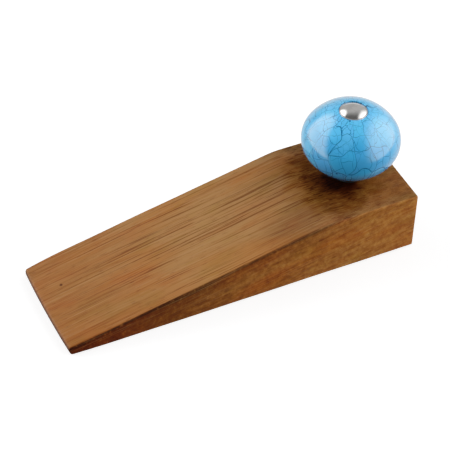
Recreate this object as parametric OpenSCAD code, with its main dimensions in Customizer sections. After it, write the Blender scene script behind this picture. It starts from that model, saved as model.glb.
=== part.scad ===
// Wooden door wedge with a ceramic knob clamped on its thick end by one through-bolt.
// +X points to the thick end, +Z is up, Y is across. The origin is at the middle of
// the whole object's footprint, on the floor.

/* [Wedge] */
// Length of the wooden block from tip to thick end
wedge_l = 151.6; // [130:0.2:180]
// Width of the block
wedge_w = 48.5; // [44:0.5:60]
// Height of the thick end
wedge_h = 27; // [24:0.5:32]
// Thickness of the tip
tip_t = 4.2; // [3.6:0.1:6]
// How far the lower half of the tip's face leans in at the sole
tip_undercut = 0.8; // [0.1:0.1:1]
// Length of the level top behind the ramp
flat_l = 41; // [40:0.5:50]
// Radius of the upright corners in plan, at the tip and at the thick end
corner_r = 1.6; // [0.5:0.1:3]
// Radius of the sanded edges across the tip and the thick end
edge_r = 0.9; // [0.3:0.1:1.2]
// Radius that softens the crease between ramp and level top
crease_r = 10; // [2:1:20]

/* [Knob] */
// Widest radius of the ceramic knob
knob_r = 20; // [18:0.5:21]
// Half of the height that the knob's oval would have with no seat or foot
knob_b = 15.4; // [14.8:0.1:16]
// Radius of the round side of the oval
knob_side_r = 10.2; // [9.5:0.1:11.4]
// Height of the knob's widest line above the wood
knob_rise = 18; // [17.5:0.1:19.5]
// Distance from the knob's axis to the thick end
knob_inset = 19.3; // [18.5:0.1:22]
// Radius of the knob's foot
foot_r = 6.8; // [6.4:0.1:8]
// Radius of the concave sweep from the foot into the ball
foot_sweep_r = 2; // [1:0.1:2.4]
// Radius of the recess that the cap sits in
seat_r = 5.85; // [5.85:0.05:6.6]
// Depth of that recess
seat_d = 0.6; // [0.2:0.05:0.9]

/* [Cap] */
// Radius of the polished dome cap
cap_r = 5.65; // [5.4:0.05:5.7]
// Thickness of the cap's rounded rim
cap_rim_t = 0.4; // [0.3:0.1:0.8]
// Height of the dome above the rim's middle
cap_dome_h = 1.7; // [1.2:0.1:2.4]
// Thickness of the gasket under the cap
gasket_t = 0.5; // [0.3:0.1:0.8]

/* [Bolt] */
// Thread diameter of the rod
rod_d = 5; // [4:0.5:5]
// Distance across the flats of both nuts
nut_af = 8; // [7:0.5:8]
// Height of the clamping nut
nut_h = 4; // [3:0.1:4.5]
// Height of the thin nut in the knob's foot
thin_nut_h = 2.7; // [2:0.1:2.8]
// Thickness of the rubber washer under the knob
rubber_t = 1; // [0.6:0.1:1.4]
// Radius of the steel washer under the wood
washer_r = 7.5; // [6.5:0.1:8]
// Thickness of the steel washer
washer_t = 1.2; // [1:0.1:1.6]
// Depth of the counterbore in the underside
pocket_d = 8; // [7.5:0.5:10]
// Length of rod that stands out below the clamping nut
rod_tail = 1.3; // [0.5:0.1:1.5]

/* [Hidden] */

$fn = 96;
cut = 1;                  // how far a cutting shape runs past the face it cuts
thread_gap = 0.02;        // radial gap between the rod and a thread on it
washer_gap = 0.15;        // radial gap between the rod and the steel washer
slip_gap = 0.3;           // radial gap round a part that only passes through a hole
pocket_gap = 0.6;         // radial gap round the steel washer in its counterbore
arc_steps = 6;            // straight steps in each rounded corner of an outline

// Places along the object
overhang = max(0, knob_r - knob_inset);
tip_x = -(wedge_l + overhang) / 2;
back_x = tip_x + wedge_l;
crease_x = back_x - flat_l;
knob_x = back_x - knob_inset;

// Radii about the knob's axis
rod_r = rod_d / 2;
bore_r = rod_r + slip_gap;
thread_r = rod_r + thread_gap;
nut_corner_r = nut_af / 2 / cos(30);
foot_pocket_r = nut_corner_r + slip_gap;
pocket_r = washer_r + pocket_gap;
boss_wall = 1.4;          // wall of the cap's threaded boss
boss_r = rod_r + boss_wall;
boss_pocket_r = boss_r + slip_gap;
gasket_overlap = 0.7;     // how far the gasket reaches past the hole for the boss
gasket_r = boss_pocket_r + gasket_overlap;
gasket_gap = 0.1;         // radial gap inside and outside the gasket
rubber_inset = 0.3;       // how far the rubber washer stops inside the knob's foot

// Heights, from the floor up
tail_z = pocket_d - washer_t - nut_h - rod_tail;
nut_z = pocket_d - washer_t - nut_h;
washer_z = pocket_d - washer_t;
foot_z = wedge_h + rubber_t;
thin_nut_lift = 0.2;      // height of the thin nut above the knob's foot
thin_nut_gap = 0.2;       // space left above the thin nut
knob_z = wedge_h + knob_rise;
// The knob's top arc is centred on the axis and meets the side arc with no kink
side_x = knob_r - knob_side_r;
top_arc_r = (side_x ^ 2 + knob_b ^ 2 - knob_side_r ^ 2) / (2 * (knob_b - knob_side_r));
arc_drop = top_arc_r - knob_b;
blend_x = top_arc_r * side_x / (top_arc_r - knob_side_r);
lip_z = knob_z - arc_drop + sqrt(top_arc_r ^ 2 - seat_r ^ 2);
gasket_lift = 0.05;       // how far the gasket stands above the floor of the recess
cap_z = lip_z - seat_d + gasket_lift;
boss_l = 6;               // length of the cap's threaded boss below the rim
boss_floor_gap = 0.5;     // space left under the boss
thread_top_gap = 0.4;     // space left above the rod in the boss
rod_top_z = cap_z - thread_top_gap;

// The arc, as points, that rounds corner b between its neighbours a and c
function unit(v) = v / norm(v);
function corner_arc(a, b, c, r) =
    let (
        u = unit(a - b),
        v = unit(c - b),
        half = acos(u * v) / 2,
        centre = b + unit(u + v) * r / sin(half),
        from = b + u * r / tan(half) - centre,
        start = atan2(from[1], from[0]),
        turn = 180 - 2 * half
    )
    [for (i = [0:arc_steps])
        let (angle = start + turn * i / arc_steps)
        centre + r * [cos(angle), sin(angle)]];

// An outline given anticlockwise, with its own radius at each corner
function rounded(points, radii) =
    let (n = len(points))
    [for (i = [0:n - 1])
        each corner_arc(points[(i + n - 1) % n], points[i], points[(i + 1) % n], radii[i])];

// Side view of the wedge: level sole, ramp, level top, and a tip that leans in below
module side_outline() {
    polygon(rounded(
        [
            [tip_x + tip_undercut, 0], [back_x, 0], [back_x, wedge_h],
            [crease_x, wedge_h], [tip_x, tip_t], [tip_x, tip_t / 2]
        ],
        [edge_r, edge_r, edge_r, crease_r, edge_r, edge_r]
    ));
}

// Plan view of the wedge
module plan_outline() {
    half_w = wedge_w / 2;
    polygon(rounded(
        [[tip_x, -half_w], [back_x, -half_w], [back_x, half_w], [tip_x, half_w]],
        [corner_r, corner_r, corner_r, corner_r]
    ));
}

// Moves its children onto the knob's axis at height z
module on_axis(z) {
    translate([knob_x, 0, z]) children();
}

// A ring on the knob's axis
module ring(z, outer_r, inner_r, h) {
    on_axis(z) difference() {
        cylinder(r = outer_r, h = h);
        translate([0, 0, -cut]) cylinder(r = inner_r, h = h + 2 * cut);
    }
}

// A six-sided nut on the knob's axis, its corners turned down to a cone top and bottom
module nut(z, h) {
    bevel = nut_corner_r - nut_af / 2;
    on_axis(z) difference() {
        intersection() {
            cylinder(r = nut_corner_r, h = h, $fn = 6);
            rotate_extrude() polygon([
                [0, 0], [nut_af / 2, 0], [nut_corner_r, bevel / 2],
                [nut_corner_r, h - bevel / 2], [nut_af / 2, h], [0, h]
            ]);
        }
        translate([0, 0, -cut]) cylinder(r = thread_r, h = h + 2 * cut);
    }
}

module wedge_block() {
    color("#9c6b3e") difference() {
        intersection() {
            translate([0, wedge_w / 2 + cut, 0])
                rotate([90, 0, 0])
                linear_extrude(wedge_w + 2 * cut) side_outline();
            translate([0, 0, -cut]) linear_extrude(wedge_h + 2 * cut) plan_outline();
        }
        on_axis(-cut) cylinder(r = bore_r, h = wedge_h + 2 * cut);
        on_axis(-cut) cylinder(r = pocket_r, h = pocket_d + cut);
    }
}

// The area between the foot and the ball, hollowed by an arc tangent to both
module foot_sweep() {
    sweep_x = foot_r + foot_sweep_r;
    reach = top_arc_r + foot_sweep_r;
    sweep_y = arc_drop - sqrt(reach ^ 2 - sweep_x ^ 2);
    touch = [0, arc_drop] + top_arc_r / reach * [sweep_x, sweep_y - arc_drop];
    difference() {
        polygon([[0, sweep_y], [sweep_x, sweep_y], touch, [0, touch[1]]]);
        translate([sweep_x, sweep_y]) circle(r = foot_sweep_r);
    }
}

// Half of the knob's section: an oval of tangent arcs, a foot, and a flattened crown
module knob_section() {
    centre_y = knob_z - foot_z;
    intersection() {
        union() {
            translate([0, centre_y]) {
                intersection() {
                    translate([0, -arc_drop]) circle(r = top_arc_r);
                    translate([0, arc_drop]) circle(r = top_arc_r);
                    translate([0, -knob_b]) square([blend_x, 2 * knob_b]);
                }
                translate([side_x, 0]) circle(r = knob_side_r);
                foot_sweep();
            }
            square([foot_r, centre_y]);
        }
        square([knob_r + cut, lip_z - foot_z]);
    }
}

module knob_body() {
    color("#5cb3dc") on_axis(foot_z) difference() {
        rotate_extrude() knob_section();
        translate([0, 0, -cut]) cylinder(r = bore_r, h = 2 * knob_r);
        translate([0, 0, -cut])
            cylinder(r = foot_pocket_r, h = cut + thin_nut_lift + thin_nut_h + thin_nut_gap);
        translate([0, 0, cap_z - foot_z - boss_l - boss_floor_gap])
            cylinder(r = boss_pocket_r, h = 2 * boss_l);
        translate([0, 0, cap_z - foot_z - gasket_t])
            cylinder(r = gasket_r + gasket_gap, h = 2 * gasket_t);
        translate([0, 0, lip_z - foot_z - seat_d]) cylinder(r = seat_r, h = seat_d + cut);
    }
}

// Half of the cap's section: a boss, a rounded rim and a shallow dome
module cap_section() {
    rim_r = cap_rim_t / 2;
    rim_x = cap_r - rim_r;
    dome_r = (rim_x ^ 2 + cap_dome_h ^ 2) / (2 * cap_dome_h);
    intersection() {
        translate([0, rim_r + cap_dome_h - dome_r]) circle(r = dome_r);
        translate([0, rim_r]) square([cap_r, 2 * cap_dome_h]);
    }
    square([rim_x, cap_rim_t]);
    translate([rim_x, rim_r]) circle(r = rim_r);
    translate([0, -boss_l]) square([boss_r, boss_l + rim_r]);
}

module dome_cap() {
    color("#cfd0d2") on_axis(cap_z) difference() {
        rotate_extrude() intersection() {
            cap_section();
            translate([0, -boss_l]) square([cap_r, 3 * boss_l]);
        }
        translate([0, 0, -boss_l - cut]) cylinder(r = thread_r, h = boss_l + cut);
    }
}

module cap_gasket() {
    color("#e8e4da") ring(cap_z - gasket_t, gasket_r, boss_r + gasket_gap, gasket_t);
}

module threaded_rod() {
    chamfer = 0.5;
    length = rod_top_z - tail_z;
    color("#a9abad") on_axis(tail_z) rotate_extrude() polygon([
        [0, 0], [rod_r - chamfer, 0], [rod_r, chamfer],
        [rod_r, length - chamfer], [rod_r - chamfer, length], [0, length]
    ]);
}

module foot_nut() {
    color("#b9b6ad") nut(foot_z + thin_nut_lift, thin_nut_h);
}

module seat_washer() {
    color("#2a2624") ring(wedge_h, foot_r - rubber_inset, bore_r, rubber_t);
}

module underside_washer() {
    color("#b4b7b9") ring(washer_z, washer_r, rod_r + washer_gap, washer_t);
}

module hex_nut() {
    color("#b9b6ad") nut(nut_z, nut_h);
}

wedge_block();
knob_body();
dome_cap();
cap_gasket();
threaded_rod();
foot_nut();
seat_washer();
underside_washer();
hex_nut();
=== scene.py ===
"""Looks for the wooden door wedge with a ceramic knob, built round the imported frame.

Lengths are in millimetres in the frame of the CAD model until a mesh is made: +X points to
the thick end, +Z is up. Each CAD node is replaced by one finer piece of the same size.
"""

import math

import bpy
from mathutils import Matrix, Vector, noise


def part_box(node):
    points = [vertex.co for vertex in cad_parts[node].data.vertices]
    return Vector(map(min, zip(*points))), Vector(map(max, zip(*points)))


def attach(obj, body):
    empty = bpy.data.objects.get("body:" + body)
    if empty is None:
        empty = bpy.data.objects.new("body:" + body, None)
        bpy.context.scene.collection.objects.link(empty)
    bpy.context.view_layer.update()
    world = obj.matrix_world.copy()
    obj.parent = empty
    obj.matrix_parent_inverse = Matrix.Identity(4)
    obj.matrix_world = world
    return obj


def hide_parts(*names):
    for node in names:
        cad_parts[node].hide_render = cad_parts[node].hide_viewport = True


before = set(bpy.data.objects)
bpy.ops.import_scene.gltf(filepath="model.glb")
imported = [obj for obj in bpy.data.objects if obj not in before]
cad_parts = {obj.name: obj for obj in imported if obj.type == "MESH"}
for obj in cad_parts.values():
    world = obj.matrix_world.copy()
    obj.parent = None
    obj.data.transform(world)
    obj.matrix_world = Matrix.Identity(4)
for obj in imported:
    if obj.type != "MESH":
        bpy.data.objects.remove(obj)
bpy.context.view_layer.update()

MM = 0.001


# ---------------------------------------------------------------- sizes from the frame

def node_box(node):
    """Lowest and highest corner of a CAD node, in millimetres."""
    low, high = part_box(node)
    return low / MM, high / MM


BLOCK_LOW, BLOCK_HIGH = node_box("wedge_block")
KNOB_LOW, KNOB_HIGH = node_box("knob_body")
CAP_LOW, CAP_HIGH = node_box("dome_cap")
ROD_LOW, ROD_HIGH = node_box("threaded_rod")
WASHER_LOW, WASHER_HIGH = node_box("underside_washer")
GASKET_LOW, _ = node_box("cap_gasket")

TIP_T = 4.2           # thickness of the wedge's tip
TIP_UNDERCUT = 0.8    # how far the tip's face leans in at the bottom
FLAT_L = 41.0         # length of its level top
EDGE_R = 0.9          # radius that sanding left on its edges
POCKET_R = 8.1        # counterbore in the underside
BORE_R = 2.8          # hole for the rod
KNOB_R = 20.0
KNOB_HALF_H = 15.4    # half height of the knob's full oval
KNOB_SIDE_R = 10.2    # radius of the oval's side arc
KNOB_RISE = 17.0      # from the knob's foot to its widest line
FOOT_R = 6.8
FOOT_SWEEP_R = 2.0
RECESS_R = 5.85       # the recess in the crown that the cap sits in
RECESS_DEPTH = 0.6
FOOT_POCKET_R = 4.9   # the pocket in the foot that the thin nut sits in
FOOT_POCKET_DEPTH = 3.1
BOSS_POCKET_R = 4.2   # the pocket in the crown that the cap's boss goes down into
BOSS_END_GAP = 0.5    # between the boss's end and the floor of its pocket
GASKET_POCKET_R = 5.0
CAP_R = (CAP_HIGH.x - CAP_LOW.x) / 2
CAP_RIM_T = 0.4
CAP_DOME_H = 1.7      # height of the cap's dome above the middle of its rim
BOSS_R = 3.9
ROD_R = 2.5
THREAD_R = ROD_R + 0.02       # the thread in both nuts and in the boss
WASHER_HOLE_R = ROD_R + 0.15
WASHER_R = (WASHER_HIGH.x - WASHER_LOW.x) / 2
SEAT_R = FOOT_R - 0.3         # the rubber washer stops just short of the foot's edge
GASKET_HOLE_R = BOSS_R + 0.1
GASKET_R = GASKET_POCKET_R - 0.1
NUT_AF = 8.0                  # a nut's width across its flats
THREAD_PITCH = 0.8

AXIS_X = (CAP_LOW.x + CAP_HIGH.x) / 2
RAMP_RUN = BLOCK_HIGH.x - BLOCK_LOW.x - FLAT_L
RAMP_ANGLE = math.atan((BLOCK_HIGH.z - TIP_T) / RAMP_RUN)
RAMP_MIDDLE = BLOCK_LOW.x + RAMP_RUN / 2
CREASE_X = BLOCK_HIGH.x - FLAT_L
# The ramp's height in a frame turned so that the ramp is level
RAMP_LEVEL = TIP_T * math.cos(RAMP_ANGLE) - BLOCK_LOW.x * math.sin(RAMP_ANGLE)
# A pin knot on the ramp, in that turned frame
PIN_KNOT = (-63.7, 7.4, RAMP_LEVEL)
# Two pinholes in the glaze, on the knob's near side
PINHOLES = ((52.0, -4.8, 59.4), (42.5, -14.0, 43.0))

# Colours of the wood by depth below the ramp's plane: on its two long sides, and elsewhere
SIDE_COLOURS = (
    (0.0, (0.190, 0.082, 0.019)), (0.7, (0.135, 0.060, 0.014)),
    (2.0, (0.325, 0.134, 0.033)), (5.5, (0.370, 0.156, 0.037)),
    (12.0, (0.415, 0.181, 0.044)), (24.0, (0.410, 0.177, 0.043)),
)
TOP_COLOURS = (
    (0.0, (0.297, 0.146, 0.053)), (0.3, (0.272, 0.130, 0.046)),
    (1.3, (0.165, 0.073, 0.023)), (3.0, (0.200, 0.094, 0.030)),
    (5.0, (0.275, 0.130, 0.043)), (10.0, (0.284, 0.132, 0.041)),
    (24.0, (0.260, 0.117, 0.034)),
)
# Colours of the glaze by height above the knob's widest line, paler high up: painted light from
# above
GLAZE_COLOURS = (
    (-12.0, (0.042, 0.280, 0.520)), (3.0, (0.052, 0.310, 0.600)),
    (7.5, (0.058, 0.360, 0.730)), (11.5, (0.104, 0.480, 0.950)),
    (15.0, (0.104, 0.470, 0.950)),
)

CAMERA_AZIMUTH = math.radians(-27.29)
CAMERA_ELEVATION = math.radians(43.6)
CAMERA_ROLL = math.radians(2.19)
CAMERA_DISTANCE = 0.794       # metres
CAMERA_TARGET_Z = 20
CAMERA_SHIFT = (1.48, -0.34)  # aim beside the target, right and up


# ---------------------------------------------------------------- mesh helpers

def add_piece(name, points, faces, node, material, sharp_deg=35):
    """A mesh piece from points in millimetres, riding on the root in place of a CAD node."""
    mesh = bpy.data.meshes.new(name)
    mesh.from_pydata([Vector(p) * MM for p in points], [], faces)
    mesh.validate()
    mesh.shade_smooth()
    mesh.set_sharp_from_angle(angle=math.radians(sharp_deg))
    mesh.materials.append(material)
    piece = bpy.data.objects.new(name, mesh)
    bpy.context.scene.collection.objects.link(piece)
    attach(piece, "root")
    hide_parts(node)
    return piece


def turned(rows, steps, place, closed):
    """Points and faces of a skin turned round the knob's axis.

    place(row, angle) gives a point's radius and height, and steps is how many go round.
    A closed skin joins its last row to its first, as on a ring. An open one starts and
    ends with a row of no radius, which becomes one point on the axis.
    """
    points, rings = [], []
    for row in range(rows):
        at_pole = not closed and row in (0, rows - 1)
        ring = []
        for step in range(1 if at_pole else steps):
            angle = math.tau * step / steps
            radius, height = place(row, angle)
            ring.append(len(points))
            points.append((
                AXIS_X + radius * math.cos(angle),
                radius * math.sin(angle),
                height,
            ))
        rings.append(ring)
    faces = []
    for row in range(rows if closed else rows - 1):
        lower, upper = rings[row], rings[(row + 1) % rows]
        for step in range(steps):
            after = (step + 1) % steps
            face = [
                lower[step % len(lower)], lower[after % len(lower)],
                upper[after % len(upper)], upper[step % len(upper)],
            ]
            faces.append(list(dict.fromkeys(face)))
    return points, faces


def arc(centre, radius, start_deg, end_deg, steps):
    """Points along an arc, ends included."""
    turn = [
        math.radians(start_deg + (end_deg - start_deg) * i / steps)
        for i in range(steps + 1)
    ]
    return [
        (centre[0] + radius * math.cos(a), centre[1] + radius * math.sin(a)) for a in turn
    ]


def line(start, end, steps):
    """Points along a straight line, its end left out."""
    return [
        tuple(s + (e - s) * i / steps for s, e in zip(start, end)) for i in range(steps)
    ]


# ---------------------------------------------------------------- shader helpers

def new_material(name):
    """An empty node material and its tree."""
    material = bpy.data.materials.new(name)
    material.use_nodes = True
    tree = material.node_tree
    tree.nodes.clear()
    return material, tree


def add_node(tree, kind, inputs=None, **settings):
    """A shader node with its settings, and its inputs given as values or as sockets to link."""
    made = tree.nodes.new("ShaderNode" + kind)
    for key, value in settings.items():
        setattr(made, key, value)
    for key, value in (inputs or {}).items():
        if isinstance(value, bpy.types.NodeSocket):
            tree.links.new(value, made.inputs[key])
        else:
            made.inputs[key].default_value = value
    return made


def calc(tree, operation, a, b=0.0, clamp=False):
    """A maths node's result."""
    made = add_node(tree, "Math", {0: a, 1: b}, operation=operation, use_clamp=clamp)
    return made.outputs[0]


def blend(tree, mode, share, a, b):
    """Colour b over colour a in the given blend mode."""
    made = add_node(tree, "Mix", data_type="RGBA", blend_type=mode)
    for index, value in ((0, share), (6, a), (7, b)):
        if isinstance(value, bpy.types.NodeSocket):
            tree.links.new(value, made.inputs[index])
        else:
            made.inputs[index].default_value = value
    return made.outputs[2]


def fade(tree, value, low, high, low_out=0.0, high_out=1.0):
    """value mapped smoothly from low..high to low_out..high_out."""
    made = add_node(
        tree, "MapRange",
        {"Value": value, "From Min": low, "From Max": high,
         "To Min": low_out, "To Max": high_out},
        interpolation_type="SMOOTHSTEP",
    )
    return made.outputs["Result"]


def layered(tree, value, stops):
    """A smooth colour for value, from (value, colour) stops in rising order."""
    low, high = stops[0][0], stops[-1][0]
    share = calc(tree, "DIVIDE", calc(tree, "SUBTRACT", value, low), high - low, clamp=True)
    made = add_node(tree, "ValToRGB", {"Fac": share})
    ramp = made.color_ramp
    ramp.interpolation = "EASE"
    for at, colour in stops[1:-1]:
        ramp.elements.new((at - low) / (high - low)).color = colour + (1,)
    ramp.elements[0].color = stops[0][1] + (1,)
    ramp.elements[-1].color = stops[-1][1] + (1,)
    return made.outputs["Color"]


def shaded(tree, colour, share, tint):
    """colour multiplied by tint where share is 1."""
    return blend(tree, "MULTIPLY", share, colour, tint + (1,))


def painted(tree, colour, share, paint):
    """paint in place of colour where share is 1."""
    return blend(tree, "MIX", share, colour, paint + (1,))


def vector_calc(tree, operation, a, b):
    """A vector maths node's result, as a vector."""
    made = add_node(tree, "VectorMath", {0: a, 1: b}, operation=operation)
    return made.outputs["Vector"]


def measure(tree, operation, vector, other=(0, 0, 0)):
    """A vector maths node's result, as a number: LENGTH, DISTANCE or DOT_PRODUCT."""
    made = add_node(tree, "VectorMath", {0: vector, 1: other}, operation=operation)
    return made.outputs["Value"]


def parts(tree, vector):
    """A vector's X, Y and Z."""
    return tuple(add_node(tree, "SeparateXYZ", {0: vector}).outputs)


def heading(azimuth):
    """The level direction at an azimuth: 0 is the -Y side and a quarter turn the +X side."""
    return math.sin(azimuth), -math.cos(azimuth), 0


def heading_beside(azimuth):
    """The level direction a quarter turn on from that azimuth."""
    return math.cos(azimuth), math.sin(azimuth), 0


def stretched(tree, vector, sizes):
    """vector divided by sizes, so that a texture on it has features of about those lengths."""
    scale = [1 / size for size in sizes]
    return add_node(tree, "Mapping", {"Vector": vector, "Scale": scale}).outputs[0]


def grain_noise(tree, vector, sizes, detail=3.0, roughness=0.55):
    """Smooth noise, 0 to 1, with features of about the given lengths."""
    made = add_node(
        tree, "TexNoise",
        {"Vector": stretched(tree, vector, sizes), "Scale": 1.0, "Detail": detail,
         "Roughness": roughness},
    )
    return made.outputs["Fac"]


def warped(tree, vector, sizes, reach):
    """vector pushed about by noise, by up to about half of reach along each axis."""
    made = add_node(
        tree, "TexNoise",
        {"Vector": stretched(tree, vector, sizes), "Scale": 1.0, "Detail": 2.0},
    )
    centred = vector_calc(tree, "SUBTRACT", made.outputs["Color"], (0.5, 0.5, 0.5))
    push = vector_calc(tree, "MULTIPLY", centred, reach)
    return vector_calc(tree, "ADD", vector, push)


def millimetres(tree, rotation=(0, 0, 0), origin=(0, 0, 0)):
    """Object coordinates in millimetres, turned about the given origin."""
    where = add_node(tree, "TexCoord").outputs["Object"]
    scaled = add_node(
        tree, "Mapping",
        {"Vector": where, "Scale": [1 / MM] * 3, "Location": [-c for c in origin]},
    )
    turned_by = add_node(
        tree, "Mapping", {"Vector": scaled.outputs[0], "Rotation": rotation}
    )
    return turned_by.outputs[0]


def finish_material(tree, shader_inputs, bump):
    """Ends a material in a Principled shader, with bump as (height, strength, distance)."""
    height, strength, distance = bump
    relief = add_node(
        tree, "Bump", {"Height": height, "Strength": strength, "Distance": distance}
    )
    shader = add_node(
        tree, "BsdfPrincipled", {**shader_inputs, "Normal": relief.outputs[0]}
    )
    out = add_node(tree, "OutputMaterial")
    tree.links.new(shader.outputs[0], out.inputs["Surface"])


# ---------------------------------------------------------------- materials

def wood():
    """Sanded open-grained hardwood. The ramp follows its layers, so the other faces cut them."""
    material, tree = new_material("wood")
    place = millimetres(tree, rotation=(0, RAMP_ANGLE, 0))
    bent = warped(tree, place, (60, 22, 22), (0, 1.6, 0))
    along, across, up = parts(tree, bent)
    normal = add_node(tree, "NewGeometry").outputs["Normal"]
    _, sideways, _ = parts(tree, normal)
    on_side = fade(tree, calc(tree, "ABSOLUTE", sideways), 0.25, 0.80)

    # Depth below the ramp's plane, with layers that swell and thin
    depth = calc(tree, "SUBTRACT", RAMP_LEVEL, up)
    swelling = grain_noise(tree, place, (40, 12, 9), detail=1.0)
    depth = calc(tree, "MULTIPLY", depth, fade(tree, swelling, 0.3, 0.7, 0.6, 1.5))
    to_tip = fade(tree, along, RAMP_MIDDLE + RAMP_RUN / 5, BLOCK_LOW.x)

    colour = blend(
        tree, "MIX", on_side,
        wood_on_top(tree, depth, along), wood_on_side(tree, depth, along, place),
    )
    colour = wood_patches(tree, colour, place)
    colour = shaded(tree, colour, to_tip, (0.87, 0.72, 0.58))
    colour = wood_figure(tree, colour, bent, depth, on_side)
    fibres = grain_noise(tree, bent, (30, 0.62, 0.8), detail=4.0, roughness=0.6)
    lined = fade(tree, depth, 2.0, 8.0, 1.0, 0.40)
    colour = wood_fibres(tree, colour, fibres, lined)
    vessel, pore = wood_vessels(tree, place, bent, across, lined, to_tip)
    colour = shaded(tree, colour, calc(tree, "MULTIPLY", vessel, 0.78), (0.44, 0.32, 0.21))
    colour = shaded(tree, colour, calc(tree, "MULTIPLY", pore, 0.50), (0.46, 0.36, 0.28))
    from_knot = measure(tree, "DISTANCE", place, PIN_KNOT)
    colour = shaded(tree, colour, fade(tree, from_knot, 0.9, 0.25), (0.30, 0.24, 0.22))
    # Painted shade round and under the knob's foot
    colour, stain_and_shade = painted_foot_shade(tree, colour, place)

    # End grain drinks the finish and darkens
    grain_axis = (math.cos(RAMP_ANGLE), 0, math.sin(RAMP_ANGLE))
    facing = measure(tree, "DOT_PRODUCT", normal, grain_axis)
    end_grain = fade(tree, calc(tree, "ABSOLUTE", facing), 0.50, 0.92)
    colour = shaded(tree, colour, end_grain, (0.50, 0.46, 0.42))

    height = calc(tree, "SUBTRACT", calc(tree, "MULTIPLY", fibres, 0.5),
                  calc(tree, "MAXIMUM", pore, calc(tree, "MULTIPLY", vessel, 0.8)))
    # Where the foot's shade is painted, the wood's sheen is turned down too
    finish_material(
        tree,
        {"Base Color": colour, "Roughness": fade(tree, fibres, 0.3, 0.7, 0.66, 0.54),
         "IOR": 1.45, "Specular IOR Level": fade(tree, stain_and_shade, 0.0, 0.8, 0.28, 0.08)},
        bump=(height, 0.5, 0.10 * MM),
    )
    return material


def wood_on_top(tree, depth, along):
    """The wood's colour on all but its long sides, with painted shade towards the crease,
    darkest by the crease's -Y end.
    """
    colour = layered(tree, depth, TOP_COLOURS)
    # Painted shade from a little before the crease onwards, and a patch of painted shade by its
    # -Y end
    to_crease = fade(tree, along, CREASE_X - 12, CREASE_X)
    colour = shaded(tree, colour, to_crease, (0.95, 0.96, 1.0))
    from_painted_shade = millimetres(tree, origin=(CREASE_X - 9, -17, BLOCK_HIGH.z))
    off_painted_shade = measure(tree, "LENGTH", stretched(tree, from_painted_shade, (19, 11, 30)))
    return shaded(tree, colour, fade(tree, off_painted_shade, 1.25, 0.25), (0.68, 0.62, 0.55))


def wood_on_side(tree, depth, along, place):
    """The wood's colour on its two long sides, mottled, and darker towards the tip."""
    colour = layered(tree, depth, SIDE_COLOURS)
    near_tip = fade(tree, along, BLOCK_HIGH.x, BLOCK_LOW.x)
    colour = shaded(tree, colour, near_tip, (0.38, 0.28, 0.13))
    mottle = grain_noise(tree, place, (1.7, 1.7, 2.2), detail=4.0, roughness=0.7)
    dark = fade(tree, mottle, 0.60, 0.36, 0.0, 0.6)
    colour = shaded(tree, colour, dark, (0.60, 0.50, 0.40))
    light = fade(tree, mottle, 0.54, 0.74, 0.0, 0.4)
    return painted(tree, colour, light, (0.42, 0.200, 0.062))


def wood_patches(tree, colour, place):
    """Broad patches where the wood turns more orange, redder or greener."""
    patches = grain_noise(tree, place, (48, 13, 12), detail=2.0)
    colour = shaded(tree, colour, fade(tree, patches, 0.42, 0.66), (1.0, 0.84, 0.66))
    blush = grain_noise(tree, place, (20, 8, 8), detail=2.0)
    colour = shaded(tree, colour, fade(tree, blush, 0.50, 0.72), (1.0, 0.88, 0.84))
    return shaded(tree, colour, fade(tree, blush, 0.48, 0.30), (0.92, 0.96, 0.84))


def wood_figure(tree, colour, bent, depth, on_side):
    """Blotches and short ripples, seen where a face cuts the layers."""
    buried = fade(tree, depth, 0.3, 3.5)
    blotches = grain_noise(tree, bent, (6.5, 2.6, 1.9), detail=4.0, roughness=0.6)
    blotch = calc(tree, "MULTIPLY", fade(tree, blotches, 0.60, 0.36, 0.0, 0.70), buried)
    colour = shaded(tree, colour, blotch, (0.66, 0.54, 0.42))
    layer_gap = 0.42
    wobble = grain_noise(tree, bent, (9, 3.2, 1.5), detail=3.0)
    layers = calc(tree, "ADD", calc(tree, "DIVIDE", depth, layer_gap),
                  calc(tree, "MULTIPLY", wobble, 7.0))
    ripple = fade(tree, calc(tree, "PINGPONG", layers, 0.5), 0.26, 0.46)
    ripple = calc(tree, "MULTIPLY", ripple, buried)
    ripple = calc(tree, "MULTIPLY", ripple, fade(tree, on_side, 0.0, 1.0, 0.45, 0.22))
    return shaded(tree, colour, ripple, (0.68, 0.58, 0.48))


def wood_fibres(tree, colour, fibres, lined):
    """Fine light and dark lines along the grain, as strong as lined says."""
    light = calc(tree, "MULTIPLY", fade(tree, fibres, 0.50, 0.70, 0.0, 0.40), lined)
    colour = painted(tree, colour, light, (0.34, 0.180, 0.072))
    dark = calc(tree, "MULTIPLY", fade(tree, fibres, 0.48, 0.33, 0.0, 0.65), lined)
    return shaded(tree, colour, dark, (0.66, 0.54, 0.42))


def wood_vessels(tree, place, bent, across, lined, to_tip):
    """Long thin vessels, crowded along the middle of the ramp, and short pores everywhere."""
    crowding = grain_noise(tree, place, (70, 10, 8), detail=1.0)
    off_middle = calc(tree, "ABSOLUTE", calc(tree, "SUBTRACT", across, 2.0))
    crowded = calc(tree, "ADD", fade(tree, crowding, 0.40, 0.62),
                   fade(tree, off_middle, 17.0, 6.0, -0.4, 0.5))
    cutoff = fade(tree, crowded, 0.0, 1.2, 0.65, 0.530)
    vessels = grain_noise(tree, bent, (42, 0.62, 0.7), detail=1.0, roughness=0.4)
    vessel = fade(tree, calc(tree, "SUBTRACT", vessels, cutoff), 0.0, 0.06)
    vessel = calc(tree, "MULTIPLY", vessel, lined)
    vessel = calc(tree, "MULTIPLY", vessel, fade(tree, to_tip, 0.3, 1.0, 1.0, 0.35))
    pores = grain_noise(tree, bent, (4.5, 0.36, 0.36), detail=1.0, roughness=0.5)
    return vessel, fade(tree, pores, 0.62, 0.70)


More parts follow.
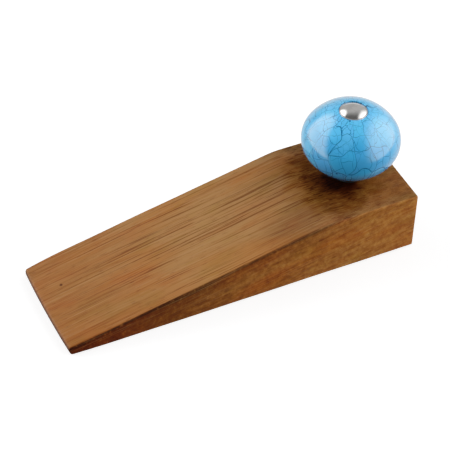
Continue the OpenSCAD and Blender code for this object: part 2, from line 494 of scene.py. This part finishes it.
def painted_foot_shade(tree, colour, place):
    """Painted shade on the wood round and under the knob's foot, where the knob shades it.

    The painted shade is wide and weak, with a small dark core. Returns the colour and the wide
    part.
    """
    edges = grain_noise(tree, place, (7, 4, 4), detail=3.0)
    # Each patch of painted shade: its middle from the knob's axis, its raggedness, outer and
    # inner radius, and tint
    painted_shades = (
        (-8, -1, 2.2, 27.0, 9.0, (0.74, 0.66, 0.50)),
        (-5, -3, 1.5, 12.0, 4.2, (0.26, 0.13, 0.02)),
    )
    shares = []
    for x, y, raggedness, outer_r, inner_r, tint in painted_shades:
        away = millimetres(tree, origin=(AXIS_X + x, y, BLOCK_HIGH.z))
        ragged = fade(tree, edges, 0.3, 0.7, -raggedness, raggedness)
        away = calc(tree, "ADD", measure(tree, "LENGTH", away), ragged)
        shares.append(fade(tree, away, outer_r, inner_r))
        colour = shaded(tree, colour, shares[-1], tint)
    return colour, shares[0]


def between_lines(tree, value):
    """For value in line spacings: the number of its gap, and how far it is from a line."""
    number = calc(tree, "FLOOR", value)
    off_middle = calc(tree, "SUBTRACT", calc(tree, "SUBTRACT", value, number), 0.5)
    return number, calc(tree, "SUBTRACT", 0.5, calc(tree, "ABSOLUTE", off_middle))


def cracks(tree, skin, gaps, bend, half_width):
    """Cracks round rough bricks: long ones along Y, and short ones between them along X.

    gaps are a brick's width and height in millimetres. bend is how far the cracks wander, in
    bricks. Returns 1 on a crack, and each brick's random colour.
    """
    x, y, _ = parts(tree, skin)
    wide, tall = gaps
    sway = grain_noise(tree, skin, (wide * 2, tall * 2, 1), detail=1.0)
    column = calc(tree, "ADD", calc(tree, "DIVIDE", x, wide),
                  fade(tree, sway, 0.2, 0.8, -bend, bend))
    column, off_column = between_lines(tree, column)
    step = add_node(tree, "TexWhiteNoise", {"W": column}, noise_dimensions="1D")
    lean = grain_noise(tree, skin, (wide * 1.4, tall * 2.5, 1), detail=1.0)
    row = calc(tree, "ADD", calc(tree, "DIVIDE", y, tall),
               fade(tree, lean, 0.2, 0.8, -bend, bend))
    row = calc(tree, "ADD", row, calc(tree, "MULTIPLY", step.outputs["Value"], 7.0))
    row, off_row = between_lines(tree, row)
    off = calc(tree, "MINIMUM", calc(tree, "MULTIPLY", off_column, wide),
               calc(tree, "MULTIPLY", off_row, tall))
    brick = add_node(tree, "CombineXYZ", {"X": column, "Y": row}).outputs[0]
    colour = add_node(
        tree, "TexWhiteNoise", {"Vector": brick}, noise_dimensions="2D"
    ).outputs["Color"]
    core = calc(tree, "MULTIPLY", half_width, 0.3)
    return fade(tree, off, half_width, core), colour


def reset(tree, skin, colour):
    """skin moved and turned by a random colour, so that each cell gets cracks of its own."""
    push = vector_calc(tree, "MULTIPLY", colour, (40, 40, 40))
    moved = vector_calc(tree, "ADD", skin, push)
    red = add_node(tree, "SeparateColor", {0: colour}).outputs[0]
    return add_node(
        tree, "VectorRotate",
        {"Vector": moved, "Angle": fade(tree, red, 0.0, 1.0, -0.6, 0.6)},
        rotation_type="Z_AXIS",
    ).outputs[0]


def knob_skin(tree, place):
    """The knob's skin laid flat, in millimetres: (round the girth, foot to crown, 0).

    It is a Mercator map, so shapes stay true and shrink towards the crown. Also returns how
    far round the girth a point is, either way, and by how much the map stretches it.
    """
    toward = measure(tree, "DOT_PRODUCT", place, heading(CAMERA_AZIMUTH))
    right = measure(tree, "DOT_PRODUCT", place, heading_beside(CAMERA_AZIMUTH))
    girth = calc(tree, "MULTIPLY", calc(tree, "ARCTAN2", right, toward), KNOB_R)
    radius = measure(tree, "LENGTH", vector_calc(tree, "MULTIPLY", place, (1, 1, 0)))
    reach = measure(tree, "LENGTH", place)
    _, _, height = parts(tree, place)
    climb = calc(tree, "DIVIDE", calc(tree, "ADD", height, reach), radius)
    climb = calc(tree, "MULTIPLY", calc(tree, "LOGARITHM", climb, math.e), KNOB_R)
    skin = add_node(tree, "CombineXYZ", {"X": girth, "Y": climb}).outputs[0]
    return skin, calc(tree, "ABSOLUTE", girth), calc(tree, "DIVIDE", KNOB_R, radius)


def glaze():
    """Turquoise crackle glaze: dark hairline cracks of three sizes under a clear gloss."""
    material, tree = new_material("glaze")
    place = millimetres(tree, origin=(AXIS_X, 0, KNOB_LOW.z + KNOB_RISE))

    # Painted light and shade: the glaze is paler on the crown and deeper lower down, as light
    # from above falls on it. It is painted a little darker on the side away from the camera too
    tone = grain_noise(tree, place, (14, 14, 10), detail=2.0)
    _, _, height = parts(tree, place)
    height = calc(tree, "ADD", height, fade(tree, tone, 0.3, 0.7, -1.5, 1.5))
    colour = layered(tree, height, GLAZE_COLOURS)
    to_camera = measure(tree, "DOT_PRODUCT", place, heading(CAMERA_AZIMUTH))
    colour = shaded(tree, colour, fade(tree, to_camera, 2.0, -12.0), (0.92, 0.78, 0.68))

    colour = crackled(tree, colour, place)
    for hole in PINHOLES:
        from_hole = measure(tree, "LENGTH", millimetres(tree, origin=hole))
        colour = shaded(tree, colour, fade(tree, from_hole, 0.6, 0.25), (0.14, 0.22, 0.30))
    finish_material(
        tree,
        {"Base Color": colour, "Roughness": 0.22, "Specular IOR Level": 0.1,
         "Coat Weight": 1.0, "Coat Roughness": 0.07, "Coat IOR": 1.49},
        bump=(grain_noise(tree, place, (6, 6, 6), detail=1.0), 0.25, 0.12 * MM),
    )
    return material


def crackled(tree, colour, place):
    """colour with dark cracks of three sizes drawn over it.

    Later cracks start and stop at earlier ones, so each cell is cracked on its own.
    """
    skin, girth, stretch = knob_skin(tree, place)
    stretch = calc(tree, "SQRT", stretch)
    skin = warped(tree, skin, (12, 12, 1), (2.2, 2.2, 0))
    skin = warped(tree, skin, (2.5, 2.5, 1), (0.35, 0.35, 0))
    main_gap = math.tau * KNOB_R / 15
    main, main_cell = cracks(
        tree, skin, (main_gap, 9.0), 0.38, calc(tree, "MULTIPLY", stretch, 0.22)
    )
    second, second_cell = cracks(
        tree, reset(tree, skin, main_cell), (5.0, 5.6), 0.36,
        calc(tree, "MULTIPLY", stretch, 0.18),
    )
    third, _ = cracks(
        tree, reset(tree, skin, second_cell), (2.7, 3.2), 0.36,
        calc(tree, "MULTIPLY", stretch, 0.13),
    )
    # The map's two ends meet at the back of the knob, under one more long crack
    seam = math.pi * KNOB_R
    main = calc(tree, "MAXIMUM", main, fade(tree, girth, seam - 0.25, seam - 0.1))

    # Ink took better in some places than in others
    colour = blend(tree, "SOFT_LIGHT", 0.08, colour, main_cell)
    inked = grain_noise(tree, place, (5, 5, 5))
    thinly_inked = grain_noise(tree, place, (8, 8, 8))
    for crack, ink, stain_and_shade in (
        (third, fade(tree, thinly_inked, 0.45, 0.64, 0.0, 0.50), (0.015, 0.170, 0.340)),
        (second, fade(tree, inked, 0.36, 0.62, 0.32, 0.90), (0.011, 0.120, 0.230)),
        (main, fade(tree, inked, 0.34, 0.62, 0.60, 1.0), (0.009, 0.085, 0.160)),
    ):
        colour = painted(tree, colour, calc(tree, "MULTIPLY", crack, ink), stain_and_shade)
    return colour


def metal(name, colour, roughness, scratch_sizes):
    """Plated metal with faint handling marks in its gloss."""
    material, tree = new_material(name)
    marks = grain_noise(tree, millimetres(tree), scratch_sizes, detail=4.0)
    tint = blend(
        tree, "MIX", fade(tree, marks, 0.35, 0.65), colour + (1,),
        tuple(c * 0.86 for c in colour) + (1,),
    )
    finish_material(
        tree,
        {"Base Color": tint, "Metallic": 1.0,
         "Roughness": fade(tree, marks, 0.3, 0.7, roughness * 0.8, roughness * 1.25)},
        bump=(marks, 0.12, 0.03 * MM),
    )
    return material


def soft_plastic(name, dark, light, roughness):
    """A plain moulded surface with fine speckle."""
    material, tree = new_material(name)
    speckle = grain_noise(tree, millimetres(tree), (0.7, 0.7, 0.7), detail=3.0)
    finish_material(
        tree,
        {"Base Color": blend(tree, "MIX", speckle, dark, light), "Roughness": roughness},
        bump=(speckle, 0.3, 0.05 * MM),
    )
    return material


# ---------------------------------------------------------------- the wooden wedge

def top_height(x):
    """Height of the ramp or level top at x, with the crease between them softened."""
    ramp = TIP_T + (x - BLOCK_LOW.x) * math.tan(RAMP_ANGLE)
    flat = BLOCK_HIGH.z
    softness = 0.5        # how widely the crease is rounded
    return (ramp + flat - math.sqrt((ramp - flat) ** 2 + softness ** 2)) / 2


def edge_spaced(low, high, cells):
    """Places from low to high, bunched in the last EDGE_R at each end for the rounding."""
    edge_cells = 4
    near = [low + EDGE_R * i / edge_cells for i in range(edge_cells)]
    middle = [
        low + EDGE_R + (high - low - 2 * EDGE_R) * i / cells for i in range(cells + 1)
    ]
    far = [high - EDGE_R * (edge_cells - 1 - i) / edge_cells for i in range(edge_cells)]
    return near + middle + far


def skin_of_box(counts):
    """Grid steps of the points on a box's skin, and its outward quads."""
    index, quads = {}, []
    for axis in range(3):
        a, b = (axis + 1) % 3, (axis + 2) % 3
        for side in (0, counts[axis]):
            for i in range(counts[a]):
                for j in range(counts[b]):
                    quad = []
                    for di, dj in ((0, 0), (1, 0), (1, 1), (0, 1)):
                        point = [0, 0, 0]
                        point[axis], point[a], point[b] = side, i + di, j + dj
                        quad.append(index.setdefault(tuple(point), len(index)))
                    quads.append(quad if side else quad[::-1])
    return list(index), quads


def rounded_off(point, low, high, radius):
    """A point on a sharp box moved onto the same box with rounded edges."""
    inner = Vector([
        min(max(p, a + radius), b - radius) for p, a, b in zip(point, low, high)
    ])
    out = Vector(point) - inner
    return inner + out.normalized() * radius


def hand_shaped(point):
    """The small departures from square that sawing and hand sanding leave."""
    x, y, z = point
    tip_reach = 24.0                            # the stretch over which the tip's shape changes
    narrowing = 0.034 if y > 0 else 0.020       # share of its half width that each side loses
    bow, bow_middle, bow_half = 0.75, -5, 27    # how far the tip's end curves back, and where
    swell, swell_size = 0.16, 23                # unevenness of the top
    side_swell, side_swell_size = 0.12, 27      # and of the sides
    side_swell_start = 90                       # which uses another part of the noise
    level_below = 2                             # the swell dies out at the flat sole
    toward_tip = min(max((BLOCK_LOW.x + tip_reach - x) / tip_reach, 0), 1)
    y *= 1 - narrowing * toward_tip ** 2
    x += bow * ((y - bow_middle) / bow_half) ** 2 * toward_tip ** 3
    x += TIP_UNDERCUT * max(1 - z / (TIP_T / 2), 0) * toward_tip ** 12
    z += swell * noise.noise(Vector((x, y, z)) / swell_size) * min(z / level_below, 1)
    spot = Vector((x + side_swell_start, y, z)) / side_swell_size
    y += side_swell * noise.noise(spot) * (1 if y > 0 else -1)
    return Vector((x, y, z))


def wedge_block(material):
    """The wooden wedge, with rounded edges, drilled for the rod and its nut."""
    cells_along, cells_across, cells_up = 96, 30, 6
    xs = edge_spaced(BLOCK_LOW.x, BLOCK_HIGH.x, cells_along)
    ys = edge_spaced(BLOCK_LOW.y, BLOCK_HIGH.y, cells_across)
    levels = len(edge_spaced(BLOCK_LOW.z, BLOCK_HIGH.z, cells_up))
    steps, quads = skin_of_box((len(xs) - 1, len(ys) - 1, levels - 1))
    points = []
    for i, j, k in steps:
        x, y, top = xs[i], ys[j], top_height(xs[i])
        z = edge_spaced(0, top, cells_up)[k]
        low = (BLOCK_LOW.x, BLOCK_LOW.y, 0)
        high = (BLOCK_HIGH.x, BLOCK_HIGH.y, top)
        points.append(hand_shaped(rounded_off((x, y, z), low, high, EDGE_R)))
    block = add_piece("wedge_block_wood", points, quads, "wedge_block", material)
    drill(block, pocket_depth=WASHER_HIGH.z)


def drill(block, pocket_depth):
    """Cuts the counterbore, with a small lead-in, and the rod's hole out of the block."""
    lead_in, beyond = 0.4, 1
    profile = [
        (0, -beyond), (POCKET_R + lead_in + beyond, -beyond), (POCKET_R, lead_in),
        (POCKET_R, pocket_depth), (BORE_R, pocket_depth),
        (BORE_R, BLOCK_HIGH.z + beyond), (0, BLOCK_HIGH.z + beyond),
    ]
    points, faces = turned(
        len(profile), steps=72, place=lambda row, angle: profile[row], closed=False
    )
    mesh = bpy.data.meshes.new("drill")
    mesh.from_pydata([Vector(p) * MM for p in points], [], faces)
    cutter = bpy.data.objects.new("drill", mesh)
    bpy.context.scene.collection.objects.link(cutter)
    cut = block.modifiers.new("drill", "BOOLEAN")
    cut.operation = "DIFFERENCE"
    cut.solver = "EXACT"
    cut.object = cutter
    bpy.context.view_layer.update()
    evaluated = block.evaluated_get(bpy.context.evaluated_depsgraph_get())
    drilled = bpy.data.meshes.new_from_object(evaluated)
    block.modifiers.clear()
    block.data = drilled
    drilled.shade_smooth()
    drilled.set_sharp_from_angle(angle=math.radians(32))
    bpy.data.objects.remove(cutter)


# ---------------------------------------------------------------- the knob

def knob_outline():
    """Closed half-section of the ceramic, anticlockwise from the foot's inner edge."""
    foot, lip = KNOB_LOW.z, KNOB_HIGH.z
    middle = foot + KNOB_RISE

    # The oval: two side arcs, joined above and below by a flatter arc of radius big_r
    side_x = KNOB_R - KNOB_SIDE_R
    big_r = side_x ** 2 + KNOB_HALF_H ** 2 - KNOB_SIDE_R ** 2
    big_r /= 2 * (KNOB_HALF_H - KNOB_SIDE_R)
    drop = big_r - KNOB_HALF_H
    blend_deg = math.degrees(math.atan2(drop, side_x))

    # The small arc that sweeps out from the foot to touch the lower flat arc
    sweep_x = FOOT_R + FOOT_SWEEP_R
    reach = big_r + FOOT_SWEEP_R
    sweep_z = drop - math.sqrt(reach ** 2 - sweep_x ** 2)
    touch_deg = math.degrees(math.atan2(sweep_z - drop, sweep_x))

    foot_ease, lip_ease = 0.5, 0.2      # rounding of the foot's edge and of the recess's
    lip_deg = math.degrees(math.acos((RECESS_R + lip_ease) / big_r))
    outline = line((FOOT_POCKET_R, foot), (FOOT_R - foot_ease, foot), 3)
    outline += arc((FOOT_R - foot_ease, foot + foot_ease), foot_ease, -90, 0, 5)
    outline += arc(
        (sweep_x, middle + sweep_z), FOOT_SWEEP_R, 180, touch_deg + 180, 8
    )[:-1]
    outline += arc((0, middle + drop), big_r, touch_deg, -blend_deg, 26)[:-1]
    outline += arc((side_x, middle), KNOB_SIDE_R, -blend_deg, blend_deg, 30)[:-1]
    outline += arc((0, middle - drop), big_r, blend_deg, lip_deg, 30)
    outline.append((RECESS_R + lip_ease / 4, outline[-1][1] - lip_ease / 8))

    # Down the middle: the recess, the gasket's and the boss's pockets, the bore, the foot's
    recess_floor = lip - RECESS_DEPTH
    boss_floor = CAP_LOW.z - BOSS_END_GAP
    foot_roof = foot + FOOT_POCKET_DEPTH
    corners = (
        ((RECESS_R, lip - lip_ease), 2), ((RECESS_R, recess_floor), 2),
        ((GASKET_POCKET_R, recess_floor), 2), ((GASKET_POCKET_R, GASKET_LOW.z), 2),
        ((BOSS_POCKET_R, GASKET_LOW.z), 3), ((BOSS_POCKET_R, boss_floor), 2),
        ((BORE_R, boss_floor), 6), ((BORE_R, foot_roof), 2),
        ((FOOT_POCKET_R, foot_roof), 3), ((FOOT_POCKET_R, foot), 0),
    )
    for (start, steps), (end, _) in zip(corners, corners[1:]):
        outline += line(start, end, steps)
    return outline


def knob_body(material):
    """The ceramic knob, very slightly out of round as glazed ware is."""
    outline = knob_outline()
    unevenness = 0.10
    lumps, lump_height = 1.6, 14        # how close together the swellings are
    fade_in = 3                         # beyond the foot, which stays round

    def place(row, angle):
        radius, height = outline[row]
        if radius > FOOT_R:
            spot = Vector((math.cos(angle), math.sin(angle), height / lump_height))
            share = min((radius - FOOT_R) / fade_in, 1)
            radius += unevenness * noise.noise(spot * lumps) * share
        return radius, height

    points, faces = turned(len(outline), steps=160, place=place, closed=True)
    add_piece("knob_ceramic", points, faces, "knob_body", material)


def dome_cap(material):
    """The polished cap: a shallow dome rolled over at its rim, with a bored boss below."""
    rim_r = CAP_RIM_T / 2
    rim_z = CAP_HIGH.z - CAP_DOME_H
    rim_x = CAP_R - rim_r
    dome_r = (rim_x ** 2 + CAP_DOME_H ** 2) / (2 * CAP_DOME_H)
    slope = math.degrees(math.asin(rim_x / dome_r))
    under = rim_z - rim_r
    chamfer = 0.3
    beside_boss = BOSS_R + 0.2
    outline = [
        (0, under), (THREAD_R, under), (THREAD_R, CAP_LOW.z), (BOSS_R - chamfer, CAP_LOW.z),
        (BOSS_R, CAP_LOW.z + chamfer), (BOSS_R, under),
    ]
    outline += line((beside_boss, under), (rim_x, under), 3)
    outline += arc((rim_x, rim_z), rim_r, -90, 90 - slope, 10)
    outline += arc((0, CAP_HIGH.z - dome_r), dome_r, 90 - slope, 90, 24)[1:]
    points, faces = turned(
        len(outline), steps=96, place=lambda row, angle: outline[row], closed=False
    )
    add_piece(
        "dome_cap_polished", points, faces, "dome_cap", material,
        sharp_deg=50,
    )


# ---------------------------------------------------------------- washers, nuts and rod

def ring(name, node, slot, material, inner_r, outer_r, ease):
    """A flat ring as thick as its CAD node, with rounded corners."""
    low, high = (corner.z for corner in node_box(node))
    corners = (
        ((outer_r - ease, low + ease), -90), ((outer_r - ease, high - ease), 0),
        ((inner_r + ease, high - ease), 90), ((inner_r + ease, low + ease), 180),
    )
    outline = []
    for centre, start in corners:
        outline += arc(centre, ease, start, start + 90, 4)
    points, faces = turned(
        len(outline), steps=96, place=lambda row, angle: outline[row], closed=True
    )
    add_piece(name, points, faces, node, material)


def nut(name, node, material):
    """A six-sided nut whose corners are turned down to a cone above and below."""
    low, high = (corner.z for corner in node_box(node))
    cone_r = 0.97 * NUT_AF / 2      # where the flat end stops and the cone starts
    cone_slope = math.tan(math.radians(28))
    lead_in = 0.45                  # chamfer at each end of the thread
    mouth_r = THREAD_R + lead_in
    face_steps = 3
    rows = face_steps + 7

    def place(row, angle):
        off_flat = (angle + math.tau / 12) % (math.tau / 6) - math.tau / 12
        hex_r = NUT_AF / 2 / math.cos(off_flat)
        drop = max(hex_r - cone_r, 0) * cone_slope
        face_low, face_high = (hex_r, low + drop), (hex_r, high - drop)
        section = [
            (mouth_r, low), (cone_r, low), *line(face_low, face_high, face_steps), face_high,
            (cone_r, high), (mouth_r, high), (THREAD_R, high - lead_in),
            (THREAD_R, low + lead_in),
        ]
        return section[row]

    points, faces = turned(rows, steps=96, place=place, closed=True)
    add_piece(name, points, faces, node, material, sharp_deg=25)


def threaded_rod(material):
    """The rod with its helical thread, chamfered at both ends."""
    low, high = ROD_LOW.z, ROD_HIGH.z
    rows_per_pitch, depth, chamfer = 6, 0.42, 0.5
    rows = round((high - low) / THREAD_PITCH * rows_per_pitch)

    def place(row, angle):
        if row == 0:
            return 0, low
        if row == rows + 2:
            return 0, high
        height = low + (high - low) * (row - 1) / rows
        turn = (height / THREAD_PITCH - angle / math.tau) % 1
        radius = ROD_R - depth * abs(2 * turn - 1)
        to_end = min(height - low, high - height)
        return min(radius, ROD_R - chamfer + to_end), height

    points, faces = turned(rows + 3, steps=48, place=place, closed=False)
    add_piece(
        "threaded_rod_m5", points, faces, "threaded_rod", material, sharp_deg=60
    )


# ---------------------------------------------------------------- studio

def window(tree, direction, place_deg, reach_deg, lean, soft, radiance, on_floor):
    """The light from one big soft window, and its weaker patch of light on the floor.

    The place is its middle's azimuth and elevation: azimuth 0 is the -Y side and 90 is the
    +X side. The reach is how far it goes sideways, up and down from there, and lean how far
    it shifts sideways as it rises. It starts to fade at the share soft[0] of its reach, and
    is gone at soft[1]. on_floor is the share of its light that the floor below it sends on.
    """
    azimuth, elevation = (math.radians(angle) for angle in place_deg)
    facing = measure(tree, "DOT_PRODUCT", direction, heading(azimuth))
    beside = measure(tree, "DOT_PRODUCT", direction, heading_beside(azimuth))
    sideways, rise, drop = (math.radians(reach) for reach in reach_deg)
    _, _, height = parts(tree, direction)
    climb = calc(tree, "ARCSINE", height)
    off_side = calc(tree, "SUBTRACT", calc(tree, "ARCTAN2", beside, facing),
                    calc(tree, "MULTIPLY", climb, lean))
    off_side = calc(tree, "DIVIDE", off_side, sideways)
    above = calc(tree, "SUBTRACT", climb, elevation)
    off_height = calc(
        tree, "MAXIMUM", calc(tree, "DIVIDE", above, rise), calc(tree, "DIVIDE", above, -drop)
    )
    off = add_node(tree, "CombineXYZ", {"X": off_side, "Y": off_height}).outputs[0]
    light = fade(tree, measure(tree, "LENGTH", off), soft[1], soft[0], 0.0, radiance)
    return calc(tree, "MULTIPLY", light, fade(tree, height, -0.14, 0.06, on_floor, 1.0))


def studio_world():
    """A white studio with a window each side, dim behind the camera.

    It also stands for the light that the floor throws up. The camera itself sees plain white.
    """
    world = bpy.data.worlds.new("studio")
    bpy.context.scene.world = world
    world.use_nodes = True
    tree = world.node_tree
    tree.nodes.clear()
    direction = add_node(tree, "TexCoord").outputs["Generated"]
    to_camera = measure(tree, "DOT_PRODUCT", direction, heading(CAMERA_AZIMUTH))
    _, _, height = parts(tree, direction)
    # Upward directions see the room, and downward ones the lit floor
    below = fade(tree, height, 0.08, -0.15)
    above = calc(tree, "SUBTRACT", 1.0, below)
    room = fade(tree, to_camera, -0.58, 0.05, 0.30, 0.09)
    floor = fade(tree, to_camera, -0.70, 0.40, 0.60, 0.08)
    level = calc(tree, "ADD", calc(tree, "MULTIPLY", room, above),
                 calc(tree, "MULTIPLY", floor, below))
    left = window(
        tree, direction, place_deg=(-116, 20), reach_deg=(44, 38, 100), lean=-0.55,
        soft=(0.66, 1.12), radiance=2.65, on_floor=0.16,
    )
    right = window(
        tree, direction, place_deg=(62, 24), reach_deg=(54, 43, 118), lean=0.0,
        soft=(0.48, 1.14), radiance=2.45, on_floor=0.12,
    )
    level = calc(tree, "ADD", level, calc(tree, "ADD", left, right))
    seen = add_node(tree, "LightPath").outputs["Is Camera Ray"]
    level = calc(tree, "MAXIMUM", level, seen)
    background = add_node(tree, "Background", {"Color": (1, 1, 1, 1), "Strength": level})
    out = add_node(tree, "OutputWorld")
    tree.links.new(background.outputs[0], out.inputs["Surface"])


def studio_floor():
    """A plain white floor, which is left out of pictures taken from below it."""
    half, below_sole = 3.0, 0.0002      # metres
    mesh = bpy.data.meshes.new("floor")
    corners = [(-half, -half), (half, -half), (half, half), (-half, half)]
    mesh.from_pydata([(x, y, -below_sole) for x, y in corners], [], [(0, 1, 2, 3)])
    floor = bpy.data.objects.new("floor", mesh)
    bpy.context.scene.collection.objects.link(floor)

    material, tree = new_material("floor")
    paint = add_node(
        tree, "BsdfPrincipled",
        {"Base Color": (0.70, 0.70, 0.70, 1), "Roughness": 0.8,
         "Emission Color": (1, 1, 1, 1), "Emission Strength": 0.60},
    )
    # Only the camera sees the floor, and only from above. The world stands for its light
    clear = add_node(tree, "BsdfTransparent")
    camera_place = add_node(
        tree, "VectorTransform", {"Vector": (0, 0, 0)},
        vector_type="POINT", convert_from="CAMERA", convert_to="WORLD",
    )
    _, _, camera_z = parts(tree, camera_place.outputs[0])
    above = calc(tree, "GREATER_THAN", camera_z, 0.0)
    seen = add_node(tree, "LightPath").outputs["Is Camera Ray"]
    shown = add_node(
        tree, "MixShader",
        {0: calc(tree, "MULTIPLY", seen, above), 1: clear.outputs[0], 2: paint.outputs[0]},
    )
    out = add_node(tree, "OutputMaterial")
    tree.links.new(shown.outputs[0], out.inputs["Surface"])
    mesh.materials.append(material)


def camera():
    """A long lens looking down across the tip and the near side."""
    back = Vector(heading(CAMERA_AZIMUTH)) * math.cos(CAMERA_ELEVATION)
    back.z = math.sin(CAMERA_ELEVATION)
    level_right = Vector(heading_beside(CAMERA_AZIMUTH))
    level_up = back.cross(level_right)
    right = math.cos(CAMERA_ROLL) * level_right + math.sin(CAMERA_ROLL) * level_up
    up = back.cross(right)
    target = Vector(((BLOCK_LOW.x + BLOCK_HIGH.x) / 2, 0, CAMERA_TARGET_Z))
    target += right * CAMERA_SHIFT[0] + up * CAMERA_SHIFT[1]
    lens = bpy.data.cameras.new("camera")
    lens.lens = 160
    lens.sensor_width = 36
    lens.clip_start, lens.clip_end = 0.01, 20
    holder = bpy.data.objects.new("camera", lens)
    bpy.context.scene.collection.objects.link(holder)
    turn = Matrix((right, up, back)).transposed().to_4x4()
    holder.matrix_world = Matrix.Translation(target * MM + back * CAMERA_DISTANCE) @ turn
    bpy.context.scene.camera = holder


def film_look():
    """A camera's response: deep shadows, and highlights that roll off into white."""
    toe, roll_off = 0.02, 1.6
    samples = (0.01, 0.02, 0.04, 0.08, 0.15, 0.25, 0.4, 0.55, 0.7, 0.85)

    def exposed(light):
        return 1 - math.exp(-roll_off * light ** 2 / (light + toe))

    settings = bpy.context.scene.view_settings
    settings.view_transform = "Standard"
    settings.use_curve_mapping = True
    curve = settings.curve_mapping.curves[3]
    for light in samples:
        curve.points.new(light, exposed(light) / exposed(1.0))
    settings.curve_mapping.update()


# ---------------------------------------------------------------- build

wedge_block(wood())
knob_body(glaze())
dome_cap(metal("bright_plating", (0.82, 0.81, 0.79), 0.12, (3, 3, 3)))
zinc = metal("zinc_plating", (0.60, 0.61, 0.62), 0.30, (0.8, 0.8, 0.8))
nylon = soft_plastic("nylon", (0.62, 0.58, 0.50, 1), (0.82, 0.79, 0.72, 1), 0.5)
rubber = soft_plastic("rubber", (0.012, 0.012, 0.012, 1), (0.035, 0.033, 0.03, 1), 0.75)
ring("cap_gasket_nylon", "cap_gasket", "gasket", nylon, GASKET_HOLE_R, GASKET_R, 0.12)
ring("seat_washer_rubber", "seat_washer", "rubber_seat", rubber, BORE_R, SEAT_R, 0.2)
ring("underside_washer_steel", "underside_washer", "steel", zinc,
     WASHER_HOLE_R, WASHER_R, 0.12)
nut("foot_nut_steel", "foot_nut", zinc)
nut("hex_nut_steel", "hex_nut", zinc)
threaded_rod(zinc)

studio_floor()
camera()
studio_world()
film_look()
